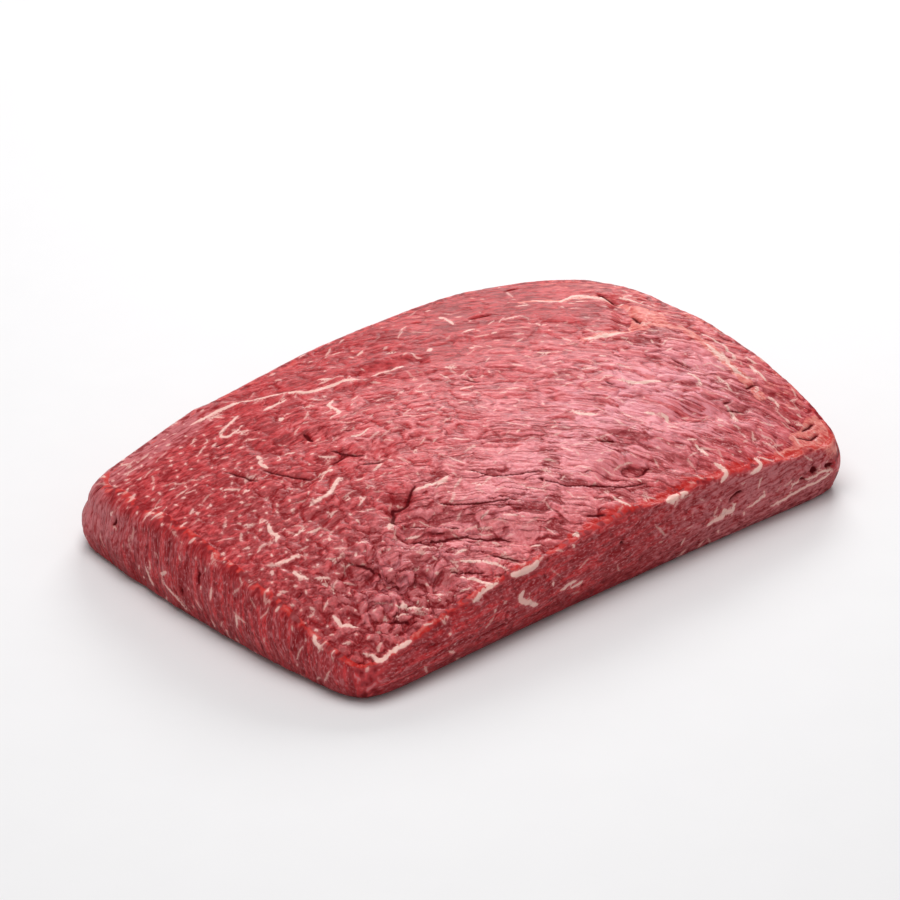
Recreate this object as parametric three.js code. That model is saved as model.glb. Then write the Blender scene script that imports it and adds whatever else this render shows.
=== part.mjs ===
// A flat iron roast: one whole trimmed slab of raw beef, lying flat.
// Millimetres, +Z up. X runs along the slab, from its thin end to its thick end.
// The origin is in the middle of the footprint, on the surface the slab lies on.
import * as THREE from 'three';

// Driving dimensions
const LENGTH = 260;
const WIDTH = 180;
const LENGTH_CROWN = 12;
const WIDTH_CROWN = 15.5;
const CROWN_OVERLAP = -3;
const LENGTH_SWAY = -2.5;
const SKEW = -9;
const SIDE_BOW = 1.5;

// How far each side stands out of a plain rounded rectangle at its middle
const THIN_END_BULGE = 6;
const THICK_END_BULGE = 7;
const FAR_SIDE_BULGE = 6.5;
const NEAR_SIDE_BULGE = -3.5;

// The four corners in turn, by angle round the slab: near, right, far and left as the slab is
// seen from its near corner. Height is the slab's thickness there before the crown is added,
// squareness the power of the rounded corner, topRound and bottomRound the radii of the edges,
// lean how far the wall leans in towards the top, and tuck how far it draws in towards the bottom.
const CORNERS = [
  { height: 14, squareness: 15, topRound: 3, bottomRound: 6, lean: 2, tuck: 0.5 },
  { height: 19.5, squareness: 15.5, topRound: 3, bottomRound: 3, lean: 3, tuck: 3 },
  { height: 38.5, squareness: 4.5, topRound: 9.5, bottomRound: 8, lean: 2, tuck: 2 },
  { height: 19.5, squareness: 12.5, topRound: 8.5, bottomRound: 3.5, lean: 4, tuck: 2.5 },
];
// An extra drop of the top at the near corner
const NEAR_DROP = -5.5;

// The muscle's grain runs in arcs round a point outside the slab
const GRAIN_CENTRE = { x: -120, y: -200 };
const GRAIN_MEAN_RADIUS = 250;

// Relief of the cut faces: slow swells, bundles of fibre along the grain, and the wall's ridges
const SWELL = { size: 36, depth: 1.1, seed: 15 };
const BUNDLE = { across: 10, along: 36, depth: 1.1, seed: 18 };
const WALL_RIDGE = { across: 7, along: 38, depth: 0.8, seed: 37, fade: 8 };
// How many degrees the wall's ridges lean from level on the near side, the thick end, the far
// side and the thin end, and how far apart the sides are taken in the noise
const WALL_SLANTS = [4, 75, 0, 105];
const SIDE_SHIFT = 400;

// Creases between the bundles, and the ridge of a fat seam: points along each, in millimetres
const CREASES = [
  { width: 7, depth: 2.4, path: [[-57, -30], [-65, -35], [-59, -41], [-49, -47], [-40, -58]] },
  { width: 7, depth: 2.4, path: [[-70, -47], [-60, -53], [-46, -61], [-30, -72]] },
  { width: 7, depth: 2.6, path: [[-98, -46], [-93, -56], [-84, -66], [-72, -72]] },
  { width: 7, depth: 2.2, path: [[-72, 38], [-62, 33], [-54, 27]] },
  { width: 7, depth: 1.8, path: [[-80, 5], [-66, 8], [-54, 4], [-44, -3]] },
  { width: 7, depth: 1.8, path: [[-10, 50], [0, 48], [12, 44]] },
  { width: 7, depth: 2, path: [[20, -62], [36, -64], [50, -70], [62, -78]] },
  { width: 7, depth: 2, path: [[70, -47], [84, -49], [98, -58]] },
  { width: 7, depth: 2, path: [[112, 32], [106, 20], [98, 10]] },
];
const SEAM = { width: 6, depth: -1, path: [[-70, 84], [-54, 70], [-38, 61], [-20, 57], [-2, 54], [14, 51]] };

// Fineness of the facets
const CELLS_ALONG = 68;
const CELLS_ACROSS = 46;
const EDGE_STEPS = 2;
const WALL_STEPS = 3;

const MEAT_COLOUR = 0xa63a42;

const HALF_LENGTH = LENGTH / 2;
const HALF_WIDTH = WIDTH / 2;

function clampLow(value) {
  return Math.max(value, 0);
}

// Each corner's share at an angle round the slab: the four shares add up to one
function cornerShares(angle) {
  return CORNERS.map((corner, i) => clampLow(Math.cos(angle - (i * 2 - 3) * Math.PI / 4)) ** 2);
}

function cornerBlend(angle, key) {
  return cornerShares(angle).reduce((sum, share, i) => sum + share * CORNERS[i][key], 0);
}

// The widest outline, at an angle round the slab
function outline(angle) {
  const power = cornerBlend(angle, 'squareness');
  const cos = Math.cos(angle);
  const sin = Math.sin(angle);
  const reach = (Math.abs(cos) ** power + Math.abs(sin) ** power) ** (-1 / power);
  const a = cos * reach;
  const b = sin * reach;
  const endBulge = THICK_END_BULGE * clampLow(a) ** 3 - THIN_END_BULGE * clampLow(-a) ** 3;
  const sideBulge = FAR_SIDE_BULGE * clampLow(b) ** 3 - NEAR_SIDE_BULGE * clampLow(-b) ** 3;
  return new THREE.Vector2(
    HALF_LENGTH * a + (1 - b * b) * endBulge + 0.5 * SKEW * b,
    HALF_WIDTH * b + (1 - a * a) * sideBulge,
  );
}

// Unit vector out of the outline at an angle round the slab
function outward(angle) {
  const step = 0.01;
  const along = outline(angle + step).sub(outline(angle - step)).normalize();
  return new THREE.Vector2(along.y, -along.x);
}

// The smooth top: four corner heights, crowned both ways
function topHeight(x, y) {
  const a = x / HALF_LENGTH;
  const b = y / HALF_WIDTH;
  const shares = [(1 - a) * (1 - b), (1 + a) * (1 - b), (1 + a) * (1 + b), (1 - a) * (1 + b)];
  const corners = shares.reduce((sum, share, i) => sum + share / 4 * CORNERS[i].height, 0);
  const crown = LENGTH_CROWN * (1 - a * a) + WIDTH_CROWN * (1 - b * b);
  const overlap = CROWN_OVERLAP * (1 - a * a) * (1 - b * b);
  const sway = LENGTH_SWAY * (a - a ** 3);
  return corners + crown + overlap + sway + NEAR_DROP * clampLow(shares[0] / 4) ** 3;
}

// A fixed random value from -1 to 1 at a point of a square grid
function gridValue(i, j, seed) {
  let bits = Math.imul(i, 374761393) ^ Math.imul(j, 668265263) ^ Math.imul(seed, 974634543);
  bits = Math.imul(bits ^ (bits >>> 13), 1274126177);
  return ((bits ^ (bits >>> 16)) >>> 0) / 2147483648 - 1;
}

// Smooth noise from -1 to 1, with one grid cell to a unit
function noise(u, v, seed) {
  const i = Math.floor(u);
  const j = Math.floor(v);
  const s = THREE.MathUtils.smootherstep(u - i, 0, 1);
  const t = THREE.MathUtils.smootherstep(v - j, 0, 1);
  const low = THREE.MathUtils.lerp(gridValue(i, j, seed), gridValue(i + 1, j, seed), s);
  const high = THREE.MathUtils.lerp(gridValue(i, j + 1, seed), gridValue(i + 1, j + 1, seed), s);
  return THREE.MathUtils.lerp(low, high, t);
}

function distanceToPath(x, y, path) {
  const point = new THREE.Vector3(x, y, 0);
  const near = new THREE.Vector3();
  let best = Infinity;
  for (let i = 0; i + 1 < path.length; i += 1) {
    const leg = new THREE.Line3(new THREE.Vector3(...path[i], 0), new THREE.Vector3(...path[i + 1], 0));
    leg.closestPointToPoint(point, true, near);
    best = Math.min(best, near.distanceTo(point));
  }
  return best;
}

// A rounded groove along a path, as a drop below the surface
function groove(x, y, { width, depth, path }) {
  const across = distanceToPath(x, y, path) / width;
  return across < 1 ? depth * (1 - across * across) ** 2 : 0;
}

function topRelief(x, y) {
  const dx = x - GRAIN_CENTRE.x;
  const dy = y - GRAIN_CENTRE.y;
  const across = Math.hypot(dx, dy);
  const along = Math.atan2(dx, dy) * GRAIN_MEAN_RADIUS;
  const swell = SWELL.depth * noise(x / SWELL.size, y / SWELL.size, SWELL.seed);
  const bundle = BUNDLE.depth * noise(across / BUNDLE.across, along / BUNDLE.along, BUNDLE.seed);
  const grooves = [...CREASES, SEAM].reduce((sum, stroke) => sum + groove(x, y, stroke), 0);
  return swell + bundle - grooves;
}

// Where each point of the border lies on its own side: which side, how far it is along from
// that side's middle, and how far from the nearer corner
function sidePositions(centres) {
  const arcs = [0];
  for (let i = 0; i < centres.length; i += 1) {
    arcs.push(arcs[i] + centres[i].distanceTo(centres[(i + 1) % centres.length]));
  }
  const half = CELLS_ALONG + CELLS_ACROSS;
  const starts = [0, CELLS_ALONG, half, half + CELLS_ALONG, 2 * half];
  return centres.map((unused, i) => {
    const side = starts.findIndex((start) => i < start) - 1;
    const first = arcs[starts[side]];
    const last = arcs[starts[side + 1]];
    const arc = arcs[i] - (first + last) / 2;
    return { side, arc, inset: (last - first) / 2 - Math.abs(arc) };
  });
}

// Ridges on the wall: level on the long sides, steep on the ends, and none at the corners
function wallRelief({ side, arc, inset }, z) {
  const slant = THREE.MathUtils.degToRad(WALL_SLANTS[side]);
  const along = arc * Math.cos(slant) + z * Math.sin(slant) + SIDE_SHIFT * side;
  const across = z * Math.cos(slant) - arc * Math.sin(slant);
  const ridge = noise(across / WALL_RIDGE.across, along / WALL_RIDGE.along, WALL_RIDGE.seed);
  return ridge * WALL_RIDGE.depth * THREE.MathUtils.smoothstep(inset, 0, WALL_RIDGE.fade);
}

// The slab's section at an angle: [distance out of the outline, height] from the bottom face
// to the start of the top face
function wallProfile(angle) {
  const bottomRound = cornerBlend(angle, 'bottomRound');
  const topRound = cornerBlend(angle, 'topRound');
  const lean = cornerBlend(angle, 'lean');
  const tuck = cornerBlend(angle, 'tuck');
  const rim = outline(angle).addScaledVector(outward(angle), -topRound - lean);
  const top = topHeight(rim.x, rim.y);
  const profile = [];
  for (let i = 0; i < EDGE_STEPS; i += 1) {
    const turn = i / EDGE_STEPS * Math.PI / 2;
    profile.push([-tuck - bottomRound * (1 - Math.sin(turn)), bottomRound * (1 - Math.cos(turn))]);
  }
  const straight = top - topRound - bottomRound;
  for (let i = 0; i <= WALL_STEPS; i += 1) {
    const rise = i / WALL_STEPS;
    const out = SIDE_BOW * Math.sin(Math.PI * rise) - lean * rise - tuck * (1 - rise) ** 2;
    profile.push([out, bottomRound + straight * rise]);
  }
  for (let i = 1; i <= EDGE_STEPS; i += 1) {
    const turn = i / EDGE_STEPS * Math.PI / 2;
    profile.push([-lean - topRound * (1 - Math.cos(turn)), top - topRound * (1 - Math.sin(turn))]);
  }
  return profile;
}

// Angles round the slab for the cells of the border, counter-clockwise from the near corner
function borderAngles() {
  const sides = [];
  for (let i = 0; i < CELLS_ALONG; i += 1) {
    sides.push([i / CELLS_ALONG * 2 - 1, -1]);
  }
  for (let j = 0; j < CELLS_ACROSS; j += 1) {
    sides.push([1, j / CELLS_ACROSS * 2 - 1]);
  }
  const firstHalf = sides.map(([u, v]) => Math.atan2(v, u));
  return [...firstHalf, ...firstHalf.map((angle) => angle + Math.PI)];
}

// One ring of points for each step of the wall's profile
function wallRings(angles) {
  const profiles = angles.map(wallProfile);
  const centres = angles.map(outline);
  const positions = sidePositions(centres);
  return profiles[0].map((unused, step) => angles.map((angle, i) => {
    const [out, z] = profiles[i][step];
    const rise = step / (profiles[i].length - 1);
    const relief = wallRelief(positions[i], z) * Math.sin(Math.PI * rise);
    const point = centres[i].clone().addScaledVector(outward(angle), out + relief);
    const lift = rise === 1 ? topRelief(point.x, point.y) : 0;
    return new THREE.Vector3(point.x, point.y, z + lift);
  }));
}

// The top face: points spread evenly between the four stretches of its rim
function topGrid(rim) {
  const rimAt = (i, j) => {
    if (j === 0) return rim[i];
    if (i === CELLS_ALONG) return rim[CELLS_ALONG + j];
    if (j === CELLS_ACROSS) return rim[CELLS_ALONG + CELLS_ACROSS + (CELLS_ALONG - i)];
    return rim[(2 * CELLS_ALONG + 2 * CELLS_ACROSS - j) % rim.length];
  };
  const mix = (low, high, share) => low.clone().lerp(high, share);
  const grid = [];
  for (let i = 0; i <= CELLS_ALONG; i += 1) {
    grid.push([]);
    for (let j = 0; j <= CELLS_ACROSS; j += 1) {
      const s = i / CELLS_ALONG;
      const t = j / CELLS_ACROSS;
      if (i % CELLS_ALONG === 0 || j % CELLS_ACROSS === 0) {
        grid[i].push(rimAt(i, j));
        continue;
      }
      const lengthwise = mix(rimAt(0, j), rimAt(CELLS_ALONG, j), s);
      const crosswise = mix(rimAt(i, 0), rimAt(i, CELLS_ACROSS), t);
      const nearEdge = mix(rimAt(0, 0), rimAt(CELLS_ALONG, 0), s);
      const farEdge = mix(rimAt(0, CELLS_ACROSS), rimAt(CELLS_ALONG, CELLS_ACROSS), s);
      const point = lengthwise.add(crosswise).sub(mix(nearEdge, farEdge, t));
      point.z = topHeight(point.x, point.y) + topRelief(point.x, point.y);
      grid[i].push(point);
    }
  }
  return grid;
}

function slabGeometry() {
  const rings = wallRings(borderAngles());
  const rim = rings[rings.length - 1];
  const grid = topGrid(rim);
  const triangles = [];
  const addTriangle = (...corners) => corners.forEach((corner) => triangles.push(...corner));
  const addQuad = (a, b, c, d) => {
    addTriangle(a, b, c);
    addTriangle(a, c, d);
  };
  for (let step = 0; step + 1 < rings.length; step += 1) {
    for (let i = 0; i < rim.length; i += 1) {
      const next = (i + 1) % rim.length;
      addQuad(rings[step][i], rings[step][next], rings[step + 1][next], rings[step + 1][i]);
    }
  }
  for (let i = 0; i < CELLS_ALONG; i += 1) {
    for (let j = 0; j < CELLS_ACROSS; j += 1) {
      addQuad(grid[i][j], grid[i + 1][j], grid[i + 1][j + 1], grid[i][j + 1]);
    }
  }
  const bottomCentre = new THREE.Vector3(0, 0, 0);
  rings[0].forEach((point, i) => addTriangle(bottomCentre, rings[0][(i + 1) % rim.length], point));
  const geometry = new THREE.BufferGeometry();
  geometry.setAttribute('position', new THREE.Float32BufferAttribute(triangles, 3));
  return geometry;
}

// Moves the slab so that the middle of its footprint is at the origin
function centreOnFootprint(geometry) {
  geometry.computeBoundingBox();
  const middle = geometry.boundingBox.getCenter(new THREE.Vector3());
  geometry.translate(-middle.x, -middle.y, 0);
  geometry.computeVertexNormals();
  return geometry;
}

function makeRoast() {
  const material = new THREE.MeshStandardMaterial({ color: MEAT_COLOUR, roughness: 0.35, metalness: 0 });
  const roast = new THREE.Mesh(centreOnFootprint(slabGeometry()), material);
  roast.name = 'roast';
  return roast;
}

const part = new THREE.Group();
part.add(makeRoast());

export default part;
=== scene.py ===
"""A whole raw flat iron roast: a trimmed slab of beef with its fibres, creases, marbling and fat.

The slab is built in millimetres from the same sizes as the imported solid, then dressed by a
Geometry Nodes tree that lays the fat and the cuts on its surface.
"""

import math
from functools import partial, reduce

import bpy
import numpy as np
from bpy.props import FloatProperty, FloatVectorProperty, IntProperty, PointerProperty
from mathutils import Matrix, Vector


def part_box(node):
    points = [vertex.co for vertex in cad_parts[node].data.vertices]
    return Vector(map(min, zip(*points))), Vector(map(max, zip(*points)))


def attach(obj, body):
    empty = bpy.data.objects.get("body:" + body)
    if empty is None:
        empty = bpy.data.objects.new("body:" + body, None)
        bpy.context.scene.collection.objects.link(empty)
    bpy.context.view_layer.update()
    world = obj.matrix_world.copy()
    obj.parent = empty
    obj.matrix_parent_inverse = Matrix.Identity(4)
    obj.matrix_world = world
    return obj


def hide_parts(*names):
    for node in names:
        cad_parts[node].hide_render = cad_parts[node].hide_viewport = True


bl_info = {
    "name": "Flat iron roast",
    "version": (1, 0, 0),
    "blender": (4, 5, 0),
    "location": "3D View > Sidebar > Roast",
    "description": "Builds a raw flat iron roast with its grain, marbling and fat",
    "category": "Mesh",
}

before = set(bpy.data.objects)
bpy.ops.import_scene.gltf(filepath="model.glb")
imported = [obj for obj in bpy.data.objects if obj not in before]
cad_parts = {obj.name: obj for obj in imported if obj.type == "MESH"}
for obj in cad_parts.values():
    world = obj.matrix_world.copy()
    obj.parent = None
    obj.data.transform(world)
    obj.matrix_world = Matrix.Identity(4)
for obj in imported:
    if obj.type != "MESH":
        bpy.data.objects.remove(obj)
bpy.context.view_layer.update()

MM = 0.001

# The four corners in turn, by angle round the slab: near, right, far, left
CORNERS = {
    "height": (14, 19.5, 38.5, 19.5),
    "squareness": (15, 15.5, 4.5, 12.5),
    "top_round": (3, 3, 9.5, 8.5),
    "bottom_round": (6, 3, 8, 3.5),
    "lean": (2, 3, 2, 4),
    "tuck": (0.5, 3, 2, 2.5),
}
LENGTH_CROWN = 12
WIDTH_CROWN = 15.5
CROWN_OVERLAP = -3
LENGTH_SWAY = -2.5
NEAR_DROP = -5.5
SKEW = -9
SIDE_BOW = 1.5
THIN_END_BULGE = 6
THICK_END_BULGE = 7
FAR_SIDE_BULGE = 6.5
NEAR_SIDE_BULGE = -3.5

# The middle of the bare slab's footprint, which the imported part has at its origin
FOOTPRINT_MIDDLE = (0.479, 3.483)

# The grain runs in arcs round a point outside the slab
GRAIN_CENTRE = (-120, -200)
GRAIN_MEAN_RADIUS = 250
# How far the grain leans from level on the near side, the thick end, the far side and the thin end
WALL_SLANTS = (4, 75, 0, 105)
# Keeps the grain of each wall apart from that of the next
WALL_GRAIN_SHIFT = 400

# Relief on the top and walls: the span of one swell, then the spans of a bundle of fibres and of
# a ridge across and along the grain, in millimetres
SWELL_SPAN = 36
BUNDLE_SPAN = (10, 36)
RIDGE_SPAN = (7, 38)
SWELL_SEED = 15
BUNDLE_SEED = 18
RIDGE_SEED = 37
# How near the end of a wall its ridges start to fade
WALL_FADE = 8
# How near an edge the grain of one face gives way to that of the next
SEAM_REACH = 1.4
# How far from a line of fat or a cut its mark still changes
LINE_REACH = 6.0

# The point that the camera looks at: its height, and its shift to the right and up in the view
AIM_HEIGHT = 18
AIM_SHIFT = (-5, 9.5)
# The height that the lights point at
LIT_HEIGHT = 30

# Folds between bundles, and a ridge where the depth is below 0: width, depth and the points each
# runs through, in millimetres
FOLDS = (
    (7, 2.4, ((-57, -30), (-65, -35), (-59, -41), (-49, -47), (-40, -58))),
    (7, 2.4, ((-70, -47), (-60, -53), (-46, -61), (-30, -72))),
    (7, 2.6, ((-98, -46), (-93, -56), (-84, -66), (-72, -72))),
    (7, 2.2, ((-72, 38), (-62, 33), (-54, 27))),
    (7, 1.8, ((-80, 5), (-66, 8), (-54, 4), (-44, -3))),
    (7, 1.8, ((-10, 50), (0, 48), (12, 44))),
    (7, 2.0, ((20, -62), (36, -64), (50, -70), (62, -78))),
    (7, 2.0, ((70, -47), (84, -49), (98, -58))),
    (7, 2.0, ((112, 32), (106, 20), (98, 10))),
    (6, -1.0, ((-70, 84), (-54, 70), (-38, 61), (-20, 57), (-2, 54), (14, 51))),
)

# Skin left on the top: half width, strength, then the points each strip runs through
SKIN_ON_TOP = (
    (1.2, 1.0, ((80, 56), (90, 50), (93, 44), (100, 46), (106, 42), (110, 36), (112, 26),
                (110, 17))),
    (4.2, 1.0, ((112, 18), (108, 11), (103, 8))),
    (3.6, 1.0, ((115, 12), (112, 5))),
    (1.3, 1.0, ((100, 7), (91, 10), (85, 12), (77, 14))),
    (2.2, 0.8, ((112, 6), (117, -3), (117, -14), (117, -26), (116, -40), (115, -52))),
    (6.5, 0.34, ((104, 62), (116, 46), (121, 26), (124, 4), (125, -20), (127, -41), (126, -59))),
    (3.0, 1.0, ((98, -82), (108, -83), (116, -83), (126, -82))),
    (5.0, 0.8, ((112, -79), (120, -78), (126, -74))),
)

# Streaks of fat on the top: half width, then the points each runs through
FAT_ON_TOP = (
    (0.6, (-63, 65), (-76, 60), (-76, 56), (-70, 56)),
    (0.7, (-44, 59), (-54, 60)),
    (0.9, (-78, 34), (-79, 31), (-82, 26), (-82, 22)),
    (0.8, (-104, -6), (-106, -10), (-106, -14), (-108, -16)),
    (0.8, (-67, -4), (-76, -9), (-80, -9), (-86, -9)),
    (0.8, (-66, 2), (-74, 4)),
    (0.7, (-107, -28), (-110, -28), (-116, -26)),
    (0.8, (-113, -34), (-114, -37), (-112, -40)),
    (0.7, (-54, 71), (-42, 64), (-34, 56), (-26, 53), (-18, 51), (-12, 47)),
    (0.8, (-78, 76), (-64, 75), (-53, 72)),
    (0.7, (6, 45), (2, 46), (-8, 48)),
    (0.7, (-32, 43), (-36, 41), (-36, 34), (-42, 32)),
    (1.3, (-55, 48), (-54, 48)),
    (1.0, (25, 50), (22, 48)),
    (0.7, (47, 70), (47, 65), (46, 60)),
    (0.6, (-38, 13), (-42, 12), (-46, 14)),
    (0.9, (78, 14), (87, 10), (97, 7)),
    (0.9, (85, 54), (88, 48), (91, 44), (97, 46), (102, 46), (108, 38), (113, 30)),
    (0.8, (66, -19), (72, -24), (81, -28)),
    (0.8, (37, -24), (38, -28), (44, -31)),
    (1.3, (37, 38), (38, 38)),
    (0.9, (116, -22), (118, -26), (116, -34), (117, -42)),
    (0.6, (116, -16), (117, -22), (116, -28)),
    (0.5, (97, -28), (97, -32), (96, -37)),
    (0.5, (106, -35), (107, -40), (106, -44)),
    (0.5, (96, -51), (96, -56), (95, -60)),
    (0.6, (118, -54), (119, -57), (118, -60)),
    (0.5, (122, -10), (123, -20), (122, -30)),
    (0.5, (124, -36), (124, -46)),
    (0.5, (116, 34), (118, 26), (119, 18)),
    (0.8, (62, -40), (68, -44), (69, -50)),
    (0.7, (66, -65), (66, -69), (66, -72)),
    (0.8, (85, -80), (84, -84), (78, -86)),
    (0.8, (66, -76), (67, -81), (62, -85)),
    (1.7, (34, -84), (38, -84), (44, -84)),
    (0.9, (-66, -36), (-69, -38), (-72, -40)),
    (0.8, (-34, -30), (-38, -31), (-43, -30), (-50, -29)),
    (0.8, (-115, -59), (-115, -64), (-111, -68)),
    (0.7, (-126, -61), (-128, -64), (-128, -67)),
    (1.1, (-99, -85), (-106, -84), (-113, -84), (-114, -81)),
    (0.9, (-93, -70), (-90, -73), (-86, -76)),
    (0.7, (-55, -84), (-58, -83), (-61, -78), (-65, -74)),
    (0.7, (-57, -84), (-64, -84), (-68, -86)),
    (1.2, (-34, -84), (-38, -86), (-44, -85), (-48, -84)),
    (0.6, (-60, -68), (-52, -74), (-48, -80)),
    (1.7, (-13, -81), (-12, -81)),
    (0.6, (14, -73), (14, -77), (16, -80)),
)

# Streaks of fat on the near side wall: half width, then (x, height)
FAT_ON_NEAR_WALL = (
    (1.0, (-44, 23), (-46, 19), (-42, 16), (-38, 14)),
    (0.6, (-25, 15), (-18, 16)),
    (0.5, (-20, 12), (-14, 13)),
    (0.9, (53, 13), (60, 15), (68, 18)),
    (0.6, (88, 8), (98, 8), (112, 9), (122, 11)),
    (0.5, (106, 12), (114, 14), (122, 13)),
    (0.4, (98, 12), (102, 15), (105, 19)),
    (0.4, (75, 12), (80, 15), (84, 19)),
)

# Streaks of fat on the thin end: half width, then (y, height)
FAT_ON_THIN_END = (
    (0.7, (17, 17), (20, 15)),
    (0.5, (31, 13), (29, 10), (27, 6)),
    (0.5, (18, 12), (12, 8), (7, 4)),
    (0.5, (-9, 7), (-10, 4)),
)

# Cuts and slits on the top: half width, then the points each runs through
CUTS_ON_TOP = (
    (0.7, (-71, 37), (-68, 34), (-62, 30)),
    (0.4, (-94, 34), (-92, 24), (-90, 18)),
    (0.6, (-4, 43), (-12, 46)),
    (0.6, (-22, 75), (-16, 70)),
    (0.7, (-56, 32), (-56, 27)),
    (0.5, (110, 41), (112, 31)),
    (0.4, (107, 17), (105, 9)),
    (0.4, (54, 59), (62, 56)),
    (0.4, (17, 20), (20, 14)),
    (0.5, (113, -46), (118, -46)),
    (0.5, (96, -50), (100, -50)),
    (0.4, (33, -66), (41, -66)),
    (0.4, (112, -77), (117, -79), (123, -78)),
    (0.4, (118, -74), (125, -73)),
    (0.5, (76, -52), (81, -54)),
    (0.6, (-48, -27), (-56, -31), (-63, -33), (-67, -37), (-62, -42), (-53, -48), (-48, -53)),
    (0.6, (-68, -49), (-62, -53), (-54, -56), (-44, -61), (-36, -69)),
    (0.5, (-94, -45), (-90, -51), (-89, -58)),
    (0.6, (-89, -60), (-86, -64), (-86, -68)),
    (0.6, (-100, -73), (-96, -77), (-92, -80)),
    (0.5, (-48, -72), (-41, -80)),
    (0.4, (-52, -62), (-46, -66), (-38, -70)),
    (0.5, (-55, -4), (-52, -6), (-48, -8)),
    (0.4, (-58, 12), (-54, 6), (-50, 2)),
    (0.4, (-46, -40), (-34, -49), (-20, -55)),
    (0.35, (-24, -32), (-17, -41), (-1, -48)),
    (0.35, (-5, -52), (4, -61), (21, -69), (33, -72)),
    (0.4, (-84, 22), (-80, 11), (-71, 3)),
    (0.4, (-66, -70), (-56, -77)),
    (0.6, (-2, -76), (4, -79)),
    (0.4, (32, -45), (38, -48)),
)

# Slits and pores on the near side wall (x, height) and on the thin end (y, height)
CUTS_ON_NEAR_WALL = (
    (0.7, (7, 24), (8, 23)),
    (0.4, (66, 20), (73, 22)),
    (1.5, (110, 18.5), (113, 17.5)),
    (0.8, (119, 18), (124, 16)),
    (0.5, (103, 17), (106, 15)),
)
CUTS_ON_THIN_END = (
    (0.7, (55, 24), (56, 22)),
    (0.4, (-1, 25), (-2, 20)),
)

# How strong three marks are on the top: a level all over, then soft ovals, each with its
# strength, middle and reach
TOP_PATCHES = {
    "rough": (0.1, (1.2, (-28, -54), (54, 30)), (0.5, (40, -66), (44, 18)),
              (0.65, (110, -30), (16, 44)), (0.2, (-60, 30), (40, 30))),
    "lumps": (0.12, (1.0, (-90, -66), (30, 24)), (0.35, (-92, -12), (24, 30)),
              (0.2, (-25, 15), (45, 40)), (0.3, (90, -22), (46, 46))),
    # The painted sheen: pale pink painted over the middle and right of the top, standing in for the
    # soft light that the wet surface reflects
    "bloom": (0.0, (1.0, (66, -34), (52, 33)), (0.35, (104, -44), (26, 36)),
              (0.5, (-15, -52), (52, 24)), (0.3, (-80, -64), (30, 20)),
              (0.16, (15, 5), (60, 40))),
}


def srgb(red, green, blue):
    """A colour given as 0 to 255 values on a screen, as the linear light that Blender uses."""
    def linear(value):
        value = value / 255
        return value / 12.92 if value <= 0.04045 else ((value + 0.055) / 1.055) ** 2.4

    return tuple(linear(value) for value in (red, green, blue))


def colour(name, description, red, green, blue):
    return FloatVectorProperty(
        name=name, description=description, subtype="COLOR", size=3, min=0, max=1,
        default=srgb(red, green, blue),
    )


def length(name, description, millimetres):
    return FloatProperty(
        name=name, description=description, default=millimetres * MM, unit="LENGTH", precision=5,
    )


class SlabSizes(bpy.types.PropertyGroup):
    """Sizes of the slab and of its relief"""

    long_side: length("Length", "Length of the slab before its ends bulge", 260)
    short_side: length("Width", "Width of the slab before its sides bulge", 180)
    swell_depth: length("Swell depth", "Height of the slow swells of the top", 1.1)
    bundle_depth: length("Bundle depth", "Height of the bundles of fibre", 1.1)
    wall_depth: length("Wall ridge depth", "Height of the ridges on the side walls", 0.8)
    cells_along: IntProperty(
        name="Cells along", description="Cells of the top along the slab", default=300, min=20)
    cells_across: IntProperty(
        name="Cells across", description="Cells of the top across the slab", default=208, min=20)
    wall_rows: IntProperty(
        name="Wall rows", description="Rows of cells up the side wall", default=21, min=4)
    edge_rows: IntProperty(
        name="Edge rows", description="Rows of cells round each edge", default=5, min=2)


class MarblingSizes(bpy.types.PropertyGroup):
    """Inputs of the marbling tree: sizes of its relief, of the fat flecks and of the slits"""

    fold_depth: length("Fold depth", "Depth of the folds between strands", 0.7)
    strand_depth: length("Strand depth", "Depth between single strands", 0.6)
    lump_depth: length("Lump depth", "Depth between the lumps near the thin end", 2.1)
    fleck_spacing: length("Fleck spacing", "Least distance between flecks of fat", 4.6)
    fleck_length: length("Fleck length", "Length of the longest flecks", 7)
    fleck_width: length("Fleck half width", "Half the width of the widest flecks", 0.6)
    dot_spacing: length("Dot spacing", "Least distance between dots of fat at the thin end", 4.2)
    dot_length: length("Dot length", "Length of the longest dots", 2.2)
    dot_width: length("Dot half width", "Half the width of the widest dots", 0.75)
    streak_spacing: length("Streak spacing", "Least distance between faint streaks", 4.4)
    streak_length: length("Streak length", "Length of the longest faint streaks", 7.5)
    streak_width: length("Streak half width", "Half the width of the widest faint streaks", 0.55)
    fat_lift: length("Fat lift", "How far fat stands out of the lean", 0.25)
    slit_spacing: length("Slit spacing", "Least distance between slits", 8)
    slit_length: length("Slit length", "Length of the longest slits", 9)
    slit_width: length("Slit half width", "Half the width of the widest slits", 0.35)
    slit_depth: length("Slit depth", "How deep slits and cuts go", 0.75)
    seed: IntProperty(name="Seed", description="Picks another strewing of flecks", default=7)


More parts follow.
